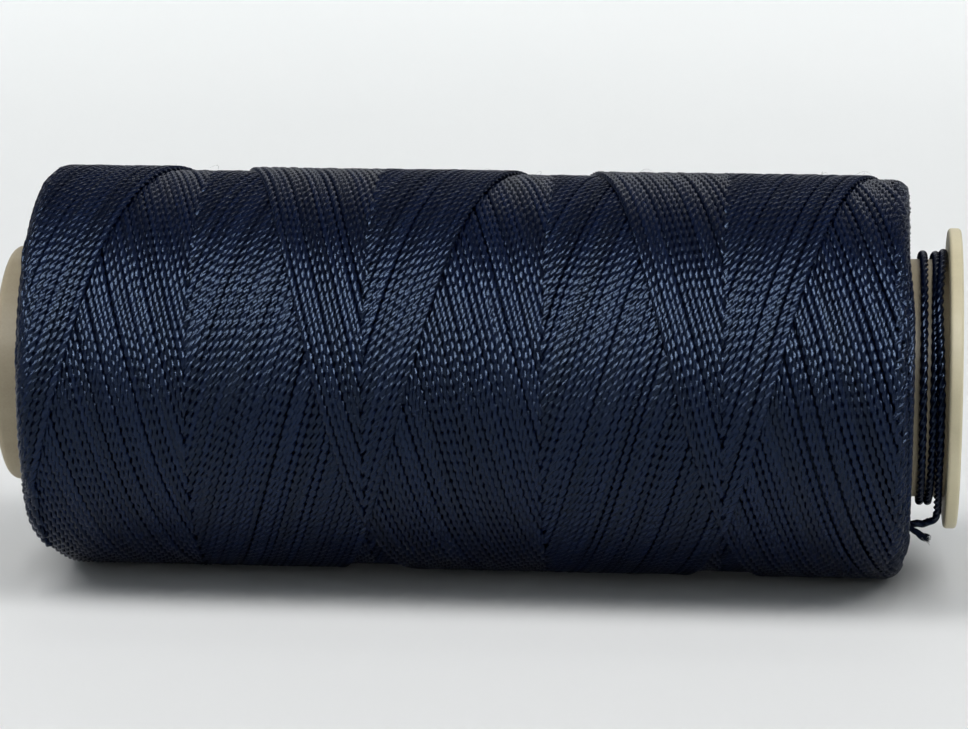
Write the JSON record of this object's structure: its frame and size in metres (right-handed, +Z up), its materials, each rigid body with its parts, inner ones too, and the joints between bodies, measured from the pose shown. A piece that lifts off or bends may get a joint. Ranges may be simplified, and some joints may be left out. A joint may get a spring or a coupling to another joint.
{
  "type": "spool of thread",
  "caption": "Long cylindrical spool of thick dark navy three-ply thread, cross-wound on an open plastic tube with a foot disc, its tail round the neck.",
  "frame": {"origin": "under the middle of the spool, on the surface that it lies on", "axes": "+X along the spool from the tube's plain end to the foot disc, +Z up"},
  "size_m": [0.119, 0.0504, 0.0503],
  "materials": {
    "thread": "silky twisted three-ply, dark navy",
    "tube_plastic": "satin moulded, beige",
    "foot_plastic": "satin moulded, cream"
  },
  "bodies": {
    "root": {"tube_barrel": "tube_plastic", "foot_disc": "foot_plastic", "thread_package": "thread", "neck_turn_1": "thread", "neck_turn_2": "thread", "neck_turn_3": "thread", "tail_loop": "thread", "tail_frayed_end": "thread"}
  },
  "joints": []
}
